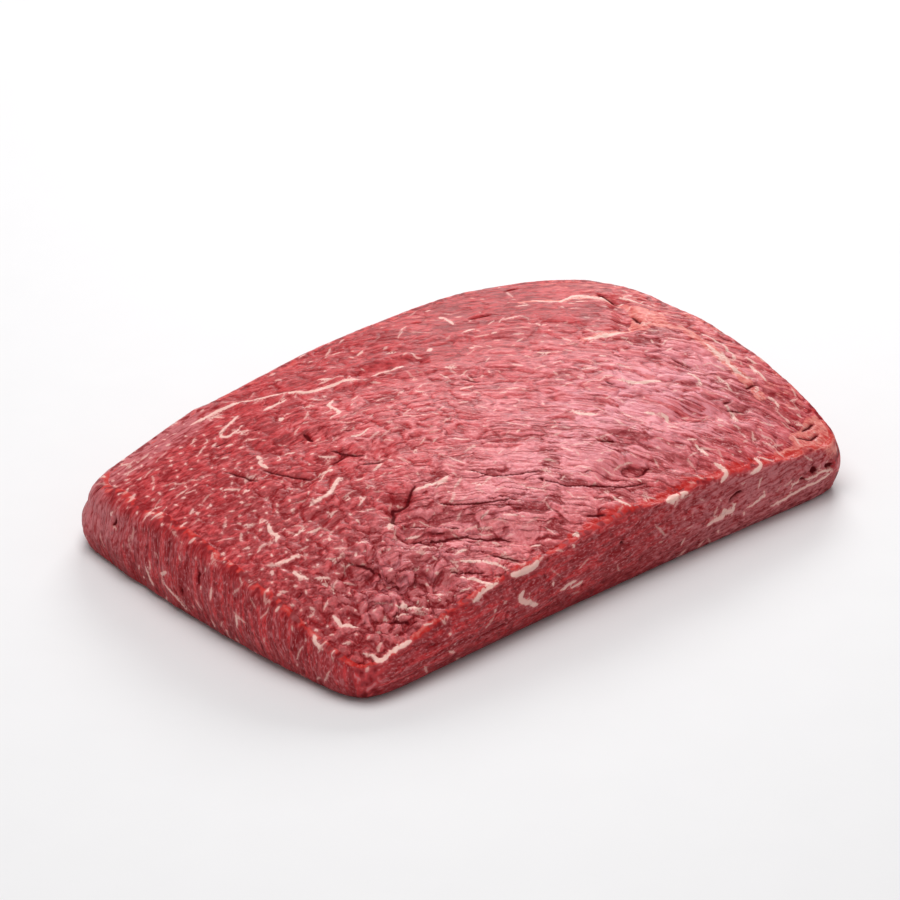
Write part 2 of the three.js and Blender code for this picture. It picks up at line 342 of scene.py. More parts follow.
class MeatColours(bpy.types.PropertyGroup):
    """Colours of the meat"""

    lean: colour("Lean", "Cut muscle", 208, 62, 66)
    # Deep red lean, also laid as painted shade in the folds, furrows, gaps between lumps and beside
    # cuts
    deep: colour("Deep lean", "Muscle in hollows and at the thin end", 142, 16, 24)
    # Pale fibres, also laid as painted highlights on the lumps and beside the folds
    pale: colour("Pale strand", "Fine pale fibres on the ridges", 238, 134, 136)
    # Painted sheen: a pale pink that stands in for the soft light shining off the wet top
    bloom: colour("Bloom", "Milky film on the middle of the top", 240, 156, 166)
    fat: colour("Fat", "Marbling and strips of fat", 250, 204, 192)
    # Wet red along the cut edges, partly a painted glow of light shining through them
    rim: colour("Rim", "Wet bright red along the cut edges", 200, 34, 28)
    skin: colour("Pale skin", "Thin skin left on the top of the thick end", 240, 146, 134)
    silver: colour("Silver skin", "Thin skin left on the walls", 206, 122, 126)
    wall: colour("Side wall", "Darker muscle of the side walls", 160, 60, 65)
    # Painted shade inside slits and pores, over the dark red of the cut
    slit: colour("Slit", "Inside of slits and pores", 88, 2, 10)
    roughness: FloatProperty(
        name="Roughness", description="Roughness of the lean", default=0.42, min=0, max=1)
    gloss: FloatProperty(
        name="Wetness", description="Strength of the film of moisture", default=0.15, min=0, max=1)


class StageSettings(bpy.types.PropertyGroup):
    """Floor, lights and camera"""

    floor: colour("Floor", "Colour of the floor", 236, 235, 236)
    key_power: FloatProperty(
        name="Key power", description="Power of the light behind", default=10, min=0, unit="POWER")
    top_power: FloatProperty(
        name="Top power", description="Power of the light above", default=11, min=0, unit="POWER")
    sky: FloatProperty(name="Sky", description="Strength of the even light", default=0.38, min=0)
    azimuth: FloatProperty(
        name="Azimuth", description="Turn of the camera round the roast", subtype="ANGLE",
        default=math.radians(-40.5))
    elevation: FloatProperty(
        name="Elevation", description="Angle of the camera above the floor", subtype="ANGLE",
        default=math.radians(29))
    distance: FloatProperty(
        name="Distance", description="Distance of the camera", default=1.6, unit="LENGTH")
    lens: FloatProperty(
        name="Lens", description="Focal length", default=159.56, unit="CAMERA")


# Form of the slab, in millimetres


def corner_shares(angle):
    return [np.maximum(np.cos(angle - (2 * k - 3) * math.pi / 4), 0) ** 2 for k in range(4)]


def corner_blend(angle, key):
    return sum(share * value for share, value in zip(corner_shares(angle), CORNERS[key]))


class Slab:
    """The slab's smooth form for a length and width in millimetres."""

    def __init__(self, long_side, short_side):
        self.half_length = long_side / 2
        self.half_width = short_side / 2

    def outline(self, angle):
        power = corner_blend(angle, "squareness")
        cos, sin = np.cos(angle), np.sin(angle)
        reach = (np.abs(cos) ** power + np.abs(sin) ** power) ** (-1 / power)
        a, b = cos * reach, sin * reach
        end = THICK_END_BULGE * np.maximum(a, 0) ** 3 - THIN_END_BULGE * np.maximum(-a, 0) ** 3
        side = FAR_SIDE_BULGE * np.maximum(b, 0) ** 3 - NEAR_SIDE_BULGE * np.maximum(-b, 0) ** 3
        return np.stack([
            self.half_length * a + (1 - b * b) * end + 0.5 * SKEW * b,
            self.half_width * b + (1 - a * a) * side,
        ], axis=-1)

    def outward(self, angle):
        step = 0.01
        along = self.outline(angle + step) - self.outline(angle - step)
        along /= np.linalg.norm(along, axis=-1, keepdims=True)
        return np.stack([along[..., 1], -along[..., 0]], axis=-1)

    def top_height(self, x, y):
        a, b = x / self.half_length, y / self.half_width
        shares = [(1 - a) * (1 - b), (1 + a) * (1 - b), (1 + a) * (1 + b), (1 - a) * (1 + b)]
        corners = sum(share / 4 * height for share, height in zip(shares, CORNERS["height"]))
        crown = LENGTH_CROWN * (1 - a * a) + WIDTH_CROWN * (1 - b * b)
        overlap = CROWN_OVERLAP * (1 - a * a) * (1 - b * b)
        sway = LENGTH_SWAY * (a - a ** 3)
        return corners + crown + overlap + sway + NEAR_DROP * np.maximum(shares[0] / 4, 0) ** 3


def grid_value(i, j, seed):
    """A fixed random value from -1 to 1 at a point of a square grid."""
    mask = 0xFFFFFFFF
    i = i.astype(np.int64) & mask
    j = j.astype(np.int64) & mask
    bits = ((i * 374761393) & mask) ^ ((j * 668265263) & mask) ^ ((seed * 974634543) & mask)
    bits = ((bits ^ (bits >> 13)) * 1274126177) & mask
    return ((bits ^ (bits >> 16)) & mask) / 2147483648 - 1


def smoother(t):
    return t ** 3 * (t * (t * 6 - 15) + 10)


def smooth_step(low, high, value):
    t = np.clip((value - low) / (high - low), 0, 1)
    return t * t * (3 - 2 * t)


def grid_noise(u, v, seed):
    """Smooth noise from -1 to 1 between the values of a square grid."""
    i, j = np.floor(u), np.floor(v)
    s, t = smoother(u - i), smoother(v - j)
    low = grid_value(i, j, seed) * (1 - s) + grid_value(i + 1, j, seed) * s
    high = grid_value(i, j + 1, seed) * (1 - s) + grid_value(i + 1, j + 1, seed) * s
    return low * (1 - t) + high * t


def patch(x, y, middle, reach):
    """A soft oval patch, 1 in its middle."""
    return np.exp(-((x - middle[0]) / reach[0]) ** 2 - ((y - middle[1]) / reach[1]) ** 2)


def distance_to_path(x, y, path):
    best = np.full(x.shape, 1e9)
    for (x0, y0), (x1, y1) in zip(path, path[1:]):
        dx, dy = x1 - x0, y1 - y0
        t = np.clip(((x - x0) * dx + (y - y0) * dy) / (dx * dx + dy * dy), 0, 1)
        best = np.minimum(best, np.hypot(x - x0 - t * dx, y - y0 - t * dy))
    return best


def grain_position(x, y):
    """Distance along and across the grain."""
    dx, dy = x - GRAIN_CENTRE[0], y - GRAIN_CENTRE[1]
    return np.arctan2(dx, dy) * GRAIN_MEAN_RADIUS, np.hypot(dx, dy)


def top_relief(x, y, sizes):
    """Height of the top's slow swells, bundles and folds."""
    along, across = grain_position(x, y)
    swell = grid_noise(x / SWELL_SPAN, y / SWELL_SPAN, SWELL_SEED)
    bundle = grid_noise(across / BUNDLE_SPAN[0], along / BUNDLE_SPAN[1], BUNDLE_SEED)
    relief = sizes.swell_depth / MM * swell + sizes.bundle_depth / MM * bundle
    for width, depth, path in FOLDS:
        part = np.clip(distance_to_path(x, y, path) / width, 0, 1)
        relief = relief - depth * (1 - part * part) ** 2
    return relief


# Marks: how much of each quality the surface has from place to place


def at_thin_end(x):
    return smooth_step(-108, -122, x)


def at_thick_end(x):
    return smooth_step(108, 122, x)


def at_near_side(y):
    return smooth_step(-60, -84, y)


def far_side(x, y):
    return patch(x, y, (40, 64), (110, 40))


def top_patches(key, x, y):
    level, *ovals = TOP_PATCHES[key]
    return level + sum(strength * patch(x, y, *oval) for strength, *oval in ovals)


def top_skin(x, y):
    """Where a thin skin is left on the top."""
    found = np.zeros(x.shape)
    for width, strength, path in SKIN_ON_TOP:
        away = distance_to_path(x, y, path)
        found = np.maximum(found, strength * (1 - smooth_step(width - 0.8, width + 1.4, away)))
    return found


def top_marks(x, y):
    """Rough where folds stand out, lumps, pale skin, silver skin along the left of the far side,
    tone, which is 1 where the lean is deep red at the thin end and where painted shade darkens the
    far side, and the painted sheen, pale pink painted where the soft light shines off the top."""
    thin_end = 0.86 * smooth_step(-36, -102, x) * (1 - 0.42 * smooth_step(-15, 60, y))
    return {
        "rough": top_patches("rough", x, y),
        "lumps": top_patches("lumps", x, y),
        "skin": top_skin(x, y),
        "silver": 0.85 * smooth_step(60, 76, y) * smooth_step(-45, -85, x),
        # Deep red lean at the thin end; on the far side, painted shade that holds back the back
        # light's sheen
        "tone": np.clip(thin_end + 0.42 * far_side(x, y), 0, 1),
        "bloom": np.minimum(1, top_patches("bloom", x, y)),
    }


def wall_marks(x, y, up, fade):
    """The same marks for the walls. Up goes from 0 at the foot to 1 at the top edge, and fade from
    0 where two walls meet to 1. Painted shade darkens the foot, and the top's skin folds over the
    right of the near side."""
    thin_end = 0.08 + 0.72 * smooth_step(10, 75, y) * smooth_step(0.15, 0.6, up)
    thick_end = 0.3 * smooth_step(-80, -40, y)
    near_side = 0.25 * patch(x, up, (84, 0.78), (14, 0.25)) + 0.6 * smooth_step(-40, 70, x)
    near_side = near_side * smooth_step(132, 114, x) * at_near_side(y)
    return {
        "rough": 0.6 * fade,
        "lumps": 0,
        "skin": 0.9 * patch(x, up, (126, 0.95), (9, 0.24)) * at_near_side(y),
        "silver": thin_end * at_thin_end(x) + thick_end * at_thick_end(x) + near_side,
        # Painted shade: darker towards the foot of each wall
        "tone": 0.75 * smooth_step(0.5, 0, up),
        "bloom": 0,
    }


def top_rim_and_glow(x, y, to_thin_end, to_near_side, to_dull):
    """Where the wet red rim shows on the top, with a painted glow of light shining through the cut
    edges: widest at the right of the near side.
    """
    width = 1.3 + 8.5 * smooth_step(-35, 5, x) * smooth_step(116, 92, x)
    near = 0.8 * np.exp(-((to_near_side / width) ** 2))
    thin = 0.6 * np.exp(-((to_thin_end / 1.7) ** 2))
    corners = 0.9 * patch(x, y, (-128, -90), (10, 7)) + 0.6 * patch(x, y, (122, -82), (10, 6))
    return np.maximum.reduce([near, thin, corners, 0.2 * np.exp(-((to_dull / 5) ** 2))])


def wall_rim_and_glow(x, y, down):
    """Where the rim, with its painted glow of light through the edges, shows on the walls, by how
    far down from the top edge a point is.
    """
    strength = 0.25 + 0.45 * at_near_side(y) + 0.35 * at_thin_end(x)
    # Wet red at the foot of the near corner, and a painted red glow of light at the right corner
    corners = 0.8 * patch(x, y, (-133, -92), (6, 6)) + 0.7 * patch(x, y, (135, -80), (5, 11))
    return np.maximum(strength * np.exp(-((down / 1.1) ** 2)), corners)


def border_angles(sizes):
    """Angles round the slab for the cells of the border, from the near corner."""
    along = np.arange(sizes.cells_along) / sizes.cells_along * 2 - 1
    across = np.arange(sizes.cells_across) / sizes.cells_across * 2 - 1
    half = np.concatenate([np.arctan2(-1, along), np.arctan2(across, 1)])
    return np.concatenate([half, half + math.pi])


def wall_profile(slab, angle, sizes):
    """The slab's section at each angle: distance out of the outline, height, and how far each
    row is into the top."""
    bottom, top, lean, tuck = (
        corner_blend(angle, key) for key in ("bottom_round", "top_round", "lean", "tuck"))
    rim = slab.outline(angle) - slab.outward(angle) * (top + lean)[:, None]
    height = slab.top_height(rim[:, 0], rim[:, 1])
    rows = []
    for i in range(sizes.edge_rows):
        turn = i / sizes.edge_rows * math.pi / 2
        rows.append((-tuck - bottom * (1 - math.sin(turn)), bottom * (1 - math.cos(turn)), 0.0))
    straight = height - top - bottom
    for i in range(sizes.wall_rows + 1):
        rise = i / sizes.wall_rows
        out = SIDE_BOW * math.sin(math.pi * rise) - lean * rise - tuck * (1 - rise) ** 2
        rows.append((out, bottom + straight * rise, 0.0))
    for i in range(1, sizes.edge_rows + 1):
        turn = i / sizes.edge_rows * math.pi / 2
        rows.append((-lean - top * (1 - math.cos(turn)), height - top * (1 - math.sin(turn)),
                     math.sin(turn) ** 2))
    return rows, height


def wall_grain(side, arc, z):
    """Distance along and across the grain of a side wall, from the middle of that wall."""
    slant = np.radians(WALL_SLANTS)[side]
    along = arc * np.cos(slant) + z * np.sin(slant) + WALL_GRAIN_SHIFT * side
    return along, z * np.cos(slant) - arc * np.sin(slant)


def add_marks(mesh, marks, kind="FLOAT", field="value"):
    """Stores a value, or an arrow, at each point of a mesh, by name."""
    for key, values in marks.items():
        mark = mesh.attributes.new(key, kind, "POINT")
        mark.data.foreach_set(field, values.astype(np.float32).ravel())


MARKS = ("rough", "lumps", "wall", "rim", "skin", "silver", "tone", "bloom", "seam")


class Skin:
    """Everything that is known at each point of the slab's surface, ready to become a mesh."""

    def __init__(self, sizes):
        slab = Slab(sizes.long_side / MM, sizes.short_side / MM)
        angle = border_angles(sizes)
        count = len(angle)
        centre, outward = slab.outline(angle), slab.outward(angle)
        step = np.linalg.norm(np.roll(centre, -1, axis=0) - centre, axis=1)
        arc = np.concatenate([[0], np.cumsum(step)])
        a, c = sizes.cells_along, sizes.cells_across
        side = np.repeat([0, 1, 2, 3], [a, c, a, c])
        ends = arc[[0, a, a + c, 2 * a + c, count]]
        arc = arc[:-1] - ((ends[:-1] + ends[1:]) / 2)[side]
        inward = (np.diff(ends) / 2)[side] - np.abs(arc)
        fade = smooth_step(0, WALL_FADE, inward)
        profile, height = wall_profile(slab, angle, sizes)
        rings = len(profile)
        tangent = np.stack([-outward[:, 1], outward[:, 0]], axis=1)
        slant = np.radians(WALL_SLANTS)[side]
        wall_fibre = np.column_stack([tangent * np.cos(slant)[:, None], np.sin(slant)])

        self.points = []
        self.marks = {key: [] for key in MARKS}
        self.arrows = {key: [] for key in ("fibre", "top_grain", "wall_grain")}
        for row, (out, z, into_top) in enumerate(profile):
            along, across = wall_grain(side, arc, z)
            ridge = grid_noise(across / RIDGE_SPAN[0], along / RIDGE_SPAN[1], RIDGE_SEED)
            push = sizes.wall_depth / MM * ridge * math.sin(math.pi * row / (rings - 1)) * fade
            place = centre + outward * (out + push)[:, None]
            x, y = place[:, 0], place[:, 1]
            on_top, on_wall = top_marks(x, y), wall_marks(x, y, z / height, fade)
            self.add(
                np.column_stack([place, z + top_relief(x, y, sizes) * into_top]),
                {key: on_top[key] * into_top + on_wall[key] * (1 - into_top) for key in on_top}
                | {"wall": np.full(count, 1 - into_top), "rim": wall_rim_and_glow(x, y, height - z),
                   "seam": np.maximum(1 - fade, smooth_step(SEAM_REACH, 0, height - z))},
                self.top_fibre(x, y) * into_top + wall_fibre * (1 - into_top),
                np.stack(grain_position(x, y), axis=-1), np.stack([along, across], axis=-1))

        self.build_top(slab, sizes, rings, count)
        self.arc, self.step, self.side = arc, step, side
        self.rings, self.count = rings, count
        self.heights = [z for out, z, into_top in profile]

    @staticmethod
    def top_fibre(x, y):
        """Which way the fibres run on the top."""
        dx, dy = x - GRAIN_CENTRE[0], y - GRAIN_CENTRE[1]
        reach = np.hypot(dx, dy)
        return np.stack([dy / reach, -dx / reach, 0 * x], axis=-1)

    def add(self, points, marks, fibre, top_grain, wall_grain):
        self.points.append(points)
        for key, values in marks.items():
            self.marks[key].append(values)
        flat = np.zeros((len(points), 1))
        self.arrows["fibre"].append(fibre)
        self.arrows["top_grain"].append(np.hstack([top_grain, flat]))
        self.arrows["wall_grain"].append(np.hstack([wall_grain, flat]))

    def build_top(self, slab, sizes, rings, count):
        """Adds the points of the top face, spread evenly inside its rim, and one under the slab."""
        a, c = sizes.cells_along, sizes.cells_across
        edge = self.points[-1][:, :2]
        near, right = edge[:a + 1], edge[a:a + c + 1]
        far = edge[a + c:2 * a + c + 1][::-1]
        left = np.concatenate([edge[2 * a + c:], edge[:1]])[::-1]
        s = (np.arange(a + 1) / a)[:, None, None]
        t = (np.arange(c + 1) / c)[None, :, None]
        lengthwise = left[None] * (1 - s) + right[None] * s
        crosswise = near[:, None] * (1 - t) + far[:, None] * t
        flat = ((near[0] * (1 - s) + near[-1] * s) * (1 - t) + (far[0] * (1 - s) + far[-1] * s) * t)
        place = lengthwise + crosswise - flat
        self.top_uv = np.stack(grain_position(place[..., 0], place[..., 1]), axis=-1)

        first, last = rings * count, (rings - 1) * count
        index = np.zeros((a + 1, c + 1), int)
        index[1:a, 1:c] = first + np.arange((a - 1) * (c - 1)).reshape(a - 1, c - 1)
        index[:, 0] = last + np.arange(a + 1)
        index[a, :] = last + np.arange(a, a + c + 1)
        index[:, c] = last + np.arange(a + c, 2 * a + c + 1)[::-1]
        index[0, :] = last + np.concatenate([np.arange(2 * a + c, count), [0]])[::-1]
        self.top_index = index
        self.under = first + (a - 1) * (c - 1)

        x, y = place[1:a, 1:c].reshape(-1, 2).T
        u, v = np.meshgrid(np.arange(1, a) / a, np.arange(1, c) / c, indexing="ij")
        u, v = u.ravel() * 2 * slab.half_length, v.ravel() * 2 * slab.half_width
        to_dull = np.minimum(2 * slab.half_length - u, 2 * slab.half_width - v)
        to_edge = np.minimum(to_dull, np.minimum(u, v))
        grain = np.stack(grain_position(x, y), axis=-1)
        self.add(
            np.column_stack([x, y, slab.top_height(x, y) + top_relief(x, y, sizes)]),
            {**top_marks(x, y), "wall": 0 * x, "rim": top_rim_and_glow(x, y, u, v, to_dull),
             "seam": smooth_step(SEAM_REACH, 0, to_edge)},
            self.top_fibre(x, y), grain, grain)
        ahead = np.array([[1.0, 0.0]])
        self.add(np.zeros((1, 3)), {key: np.array([float(key == "wall")]) for key in MARKS},
                 np.array([[1.0, 0.0, 0.0]]), ahead, ahead)

    def mesh(self):
        """One closed mesh in metres, with its marks as attributes and the grain as its UV map."""
        n, rings = self.count, self.rings
        ring = np.arange(n)
        after = (ring + 1) % n
        low = (np.arange(rings - 1) * n)[:, None]
        walls = np.stack([low + ring, low + after, low + n + after, low + n + ring], axis=-1)
        top = self.top_index
        lid = np.stack([top[:-1, :-1], top[1:, :-1], top[1:, 1:], top[:-1, 1:]], axis=-1)
        base = np.column_stack([np.full(n, self.under), after, ring])
        faces = [*walls.reshape(-1, 4).tolist(), *lid.reshape(-1, 4).tolist(), *base.tolist()]
        points = np.concatenate(self.points)
        points[:, 0] -= FOOTPRINT_MIDDLE[0]
        points[:, 1] -= FOOTPRINT_MIDDLE[1]
        mesh = bpy.data.meshes.new("slab")
        mesh.from_pydata((points * MM).tolist(), [], faces)

        walls_uv = []
        for row in range(rings - 1):
            corners = []
            for shift, up in ((0, 0), (1, 0), (1, 1), (0, 1)):
                k = after if shift else ring
                z = self.heights[row + up]
                arc = self.arc + self.step * shift
                corners.append(np.column_stack(wall_grain(self.side, arc, z[k])))
            walls_uv.append(np.stack(corners, axis=1))
        uv = self.top_uv
        lid_uv = np.stack([uv[:-1, :-1], uv[1:, :-1], uv[1:, 1:], uv[:-1, 1:]], axis=2)
        base_uv = points[base, :2]
        layer = mesh.uv_layers.new(name="grain")
        flat = [part.reshape(-1) for part in (*walls_uv, lid_uv, base_uv)]
        layer.data.foreach_set("uv", np.concatenate(flat).astype(np.float32))
        add_marks(mesh, {key: np.concatenate(parts) for key, parts in self.marks.items()})
        arrows = {key: np.concatenate(parts) for key, parts in self.arrows.items()}
        add_marks(mesh, arrows, "FLOAT_VECTOR", "vector")
        mesh.polygons.foreach_set("use_smooth", np.ones(len(faces), bool))
        mesh.update()
        return mesh


# Streaks and cuts as lines on the surface


def smooth_line(points, spacing=0.7):
    """Points every spacing millimetres along a smooth curve through the given ones."""
    points = np.array(points, float)
    ends = np.vstack([2 * points[0] - points[1], points, 2 * points[-1] - points[-2]])
    line = []
    for p0, p1, p2, p3 in zip(ends, ends[1:], ends[2:], ends[3:]):
        steps = max(2, math.ceil(np.linalg.norm(p2 - p1) / spacing))
        for t in np.arange(steps)[:, None] / steps:
            line.append(0.5 * (2 * p1 + (p2 - p0) * t + (2 * p0 - 5 * p1 + 4 * p2 - p3) * t ** 2
                               + (3 * p1 - p0 - 3 * p2 + p3) * t ** 3))
    return np.array([*line, points[-1]])


def line_object(name, slab, groups):
    """A mesh of lines near the slab's surface, each point with its half width in metres."""
    points, edges, widths, strengths = [], [], [], []
    for place, strokes, strength in groups:
        for width, *path in strokes:
            line = smooth_line(path)
            first = sum(len(part) for part in points)
            points.append(place(slab, line[:, 0], line[:, 1]))
            edges += [(first + i, first + i + 1) for i in range(len(line) - 1)]
            along = np.linspace(-1, 1, len(line))
            widths.append(width * np.sqrt(1 - 0.8 * along ** 4))
            strengths.append(np.full(len(line), strength))
    points = np.concatenate(points)
    points[:, :2] -= FOOTPRINT_MIDDLE
    mesh = bpy.data.meshes.new(name)
    mesh.from_pydata((points * MM).tolist(), edges, [])
    add_marks(mesh, {
        "width": np.concatenate(widths) * MM, "strength": np.concatenate(strengths)})
    return bpy.data.objects.new(name, mesh)


def on_top(slab, x, y):
    return np.column_stack([x, y, slab.top_height(x, y)])


def on_near_wall(slab, x, z):
    """Places just outside the near side, which the marbling tree lays on it."""
    y = np.full_like(x, -slab.half_width - FAR_SIDE_BULGE)
    return np.column_stack([x, y, z])


def on_thin_end(slab, y, z):
    """Places just outside the thin end, which the marbling tree lays on it."""
    x = np.full_like(y, -slab.half_length - THIN_END_BULGE)
    return np.column_stack([x, y, z])


# Node trees


class Nodes:
    """Adds nodes to a tree by short calls."""

    def __init__(self, tree):
        self.tree = tree

    def add(self, kind, sockets=(), **settings):
        """Adds a node: settings are its properties, sockets its inputs by name or number."""
        node = self.tree.nodes.new(kind)
        for key, value in settings.items():
            setattr(node, key, value)
        for key, value in dict(sockets).items():
            if isinstance(value, bpy.types.NodeSocket):
                self.tree.links.new(value, node.inputs[key])
            else:
                node.inputs[key].default_value = value
        return node

    def value(self, kind, sockets=(), **settings):
        """Adds a node and gives its first output."""
        return self.add(kind, sockets, **settings).outputs[0]

    def maths(self, operation, *values, clamp=False):
        return self.value("ShaderNodeMath", enumerate(values), operation=operation, use_clamp=clamp)

    def times(self, *values):
        return reduce(partial(self.maths, "MULTIPLY"), values)

    def plus(self, *values):
        return reduce(partial(self.maths, "ADD"), values)

    def vectors(self, operation, *values):
        return self.value("ShaderNodeVectorMath", enumerate(values), operation=operation)

    def scaled(self, vector, amount):
        sockets = {0: vector, "Scale": amount}
        return self.value("ShaderNodeVectorMath", sockets, operation="SCALE")

    def ramp(self, value, low, high, start=0.0, end=1.0):
        """Rises smoothly from start to end as value goes from low to high."""
        sockets = {0: value, 1: low, 2: high, 3: start, 4: end}
        return self.value("ShaderNodeMapRange", sockets, interpolation_type="SMOOTHSTEP")

    def spread(self, noise, amount):
        """Makes a noise swing to both sides of 0."""
        return self.times(self.plus(noise, -0.5), amount)

    def flat_noise(self, vector, scale):
        sockets = {"Vector": vector, "Scale": scale, "Detail": 1.0}
        return self.add("ShaderNodeTexNoise", sockets, noise_dimensions="2D").outputs["Color"]

    def soft_noise(self, vector, shift, detail=2.0, roughness=0.5):
        return self.add("ShaderNodeTexNoise", {
            "Vector": vector, "W": shift, "Scale": 1.0, "Detail": detail, "Roughness": roughness,
        }, noise_dimensions="4D").outputs["Fac"]

    def grain_cells(self, grain, across, along, drift):
        """A coordinate that counts cells of a size in millimetres across and along the grain."""
        cells = self.vectors("MULTIPLY", grain, (1 / along, 1 / across, 1))
        return self.vectors("MULTIPLY_ADD", self.flat_noise(grain, 0.07), (drift, drift, 0), cells)

    def furrows(self, grain):
        """How far a point is from the nearest winding furrow between folds, strands and lumps:
        0 in the furrow. The same pattern shapes the mesh and colours it."""
        found = []
        for across, along, drift, shift, patch_across, patch_along in (
                (7.5, 38.0, 0.9, 1.0, 17.0, 30.0), (3.0, 20.0, 1.0, 5.0, 8.0, 19.0)):
            wave = self.soft_noise(self.grain_cells(grain, across, along, drift), shift, 1.0)
            patches = self.grain_cells(grain, patch_across, patch_along, 1.0)
            broken = self.ramp(self.soft_noise(patches, shift + 2), 0.54, 0.38, 0.0, 0.13)
            found.append(self.plus(self.maths("ABSOLUTE", self.plus(wave, -0.5)), broken))
        cells = self.grain_cells(grain, 5.4, 9.5, 1.3)
        cells = self.vectors("MULTIPLY_ADD", self.flat_noise(cells, 1.6), (0.7, 0.7, 0), cells)
        lump = self.add("ShaderNodeTexVoronoi", {"Vector": cells, "Scale": 1.0},
                        voronoi_dimensions="2D", feature="DISTANCE_TO_EDGE").outputs["Distance"]
        joined = self.soft_noise(self.grain_cells(grain, 9.0, 12.0, 1.0), 21.0)
        return *found, self.plus(lump, self.ramp(joined, 0.5, 0.38, 0.0, 0.2))


class Marbling(Nodes):
    """A Geometry Nodes tree that lays streaks, flecks, cuts and slits on a slab."""

    def mark(self, name, kind="FLOAT"):
        return self.value("GeometryNodeInputNamedAttribute", {"Name": name}, data_type=kind)

    def store(self, geometry, name, value, kind="FLOAT"):
        return self.value("GeometryNodeStoreNamedAttribute", {
            "Geometry": geometry, "Name": name, "Value": value}, data_type=kind, domain="POINT")

    def place(self):
        return self.value("GeometryNodeInputPosition")

    def moved(self, geometry, **how):
        return self.value("GeometryNodeSetPosition", {"Geometry": geometry, **how})

    def raised(self, slab, height):
        """Moves the slab's points out along their normals, where they are free to move."""
        height = self.times(height, self.mark("free"))
        return self.moved(slab, Offset=self.scaled(self.value("GeometryNodeInputNormal"), height))

    def wander(self, size, amount):
        """An offset that winds from place to place."""
        sockets = {"Scale": 1 / size, "Detail": 1.0}
        noise = self.add("ShaderNodeTexNoise", sockets).outputs["Color"]
        return self.scaled(self.vectors("SUBTRACT", noise, (0.5, 0.5, 0.5)), amount)

    def nearest(self, geometry, place, target):
        sockets = {0: geometry, "Sample Position": place}
        return self.add("GeometryNodeProximity", sockets, target_element=target).outputs

    def strewn_lines(self, slab, spacing, longest, widest, share, seed, swing, strength):
        """Short winding lines strewn over the slab along its grain."""
        strew = self.add("GeometryNodeDistributePointsOnFaces", {
            "Mesh": slab, "Distance Min": spacing, "Density Max": 1e6,
            "Density Factor": share, "Seed": seed,
        }, distribute_method="POISSON").outputs

        def pick(low, high, shift):
            chance = self.plus(seed, shift)
            return self.add("FunctionNodeRandomValue", {2: low, 3: high, 8: chance}).outputs[1]

        points = self.store(strew["Points"], "width", self.times(widest, pick(0.45, 1.0, 11)))
        points = self.store(points, "strength", pick(*strength, 14))
        size = self.times(longest, self.maths("POWER", pick(0.25, 1.0, 12), 1.6))
        scale = self.value("ShaderNodeCombineXYZ", {0: size, 1: 1.0, 2: 1.0})
        facing = self.value("FunctionNodeAlignRotationToVector", {
            "Rotation": strew["Rotation"], "Vector": self.mark("fibre", "FLOAT_VECTOR")}, axis="X")
        turn = self.value("FunctionNodeAxisAngleToRotation", {
            "Axis": strew["Normal"], "Angle": self.times(swing, pick(-1.0, 1.0, 13))})
        turned = self.value(
            "FunctionNodeRotateRotation", {0: facing, 1: turn}, rotation_space="GLOBAL")
        line = self.value("GeometryNodeMeshLine", {
            "Count": 9, "Start Location": (-0.5, 0, 0), "Offset": (0.125, 0, 0)})
        from_middle = self.times(self.value("ShaderNodeSeparateXYZ", {0: self.place()}), 1.9)
        taper = self.maths("POWER", self.maths("ABSOLUTE", from_middle), 2.5)
        line = self.store(line, "taper", self.maths("SUBTRACT", 1.0, taper))
        lines = self.value("GeometryNodeInstanceOnPoints", {
            "Points": points, "Instance": line, "Rotation": turned, "Scale": scale})
        lines = self.value("GeometryNodeRealizeInstances", {0: lines})
        return self.store(lines, "width", self.times(self.mark("width"), self.mark("taper")))

    def laid_lines(self, slab, drawn, *strewn):
        """Drawn and strewn lines, made to wind and laid on the slab."""
        drawn = self.add("GeometryNodeObjectInfo", {"Object": drawn}).outputs["Geometry"]
        both = self.add("GeometryNodeJoinGeometry")
        for lines in strewn:
            lines = self.moved(lines, Offset=self.wander(6 * MM, 2.8 * MM))
            self.tree.links.new(lines, both.inputs[0])
        drawn = self.moved(drawn, Offset=self.wander(3 * MM, 0.9 * MM))
        self.tree.links.new(drawn, both.inputs[0])
        near = self.nearest(slab, self.place(), "FACES")
        return self.moved(both.outputs[0], Position=near["Position"])

    def mark_lines(self, slab, lines, name):
        """Marks each point of the slab with how far it is inside the nearest line in millimetres,
        and with the way to that line, its half width and its strength."""
        place = self.place()
        near = self.nearest(lines, place, "EDGES")
        index = self.value("GeometryNodeSampleNearest", {0: lines, 1: place}, domain="POINT")

        def of_line(key):
            return self.value("GeometryNodeSampleIndex", {0: lines, 1: self.mark(key), 2: index},
                              data_type="FLOAT", domain="POINT")

        way = self.scaled(self.vectors("SUBTRACT", near["Position"], place), 1 / MM)
        width = self.maths("DIVIDE", of_line("width"), MM)
        inside = self.maths("SUBTRACT", width, self.maths("DIVIDE", near["Distance"], MM))
        slab = self.store(slab, name, self.maths("MAXIMUM", inside, -LINE_REACH))
        slab = self.store(slab, name + "_way", way, "FLOAT_VECTOR")
        slab = self.store(slab, name + "_width", width)
        return self.store(slab, name + "_strength", of_line("strength"))


def socket_name(key):
    return key.replace("_", " ").capitalize()


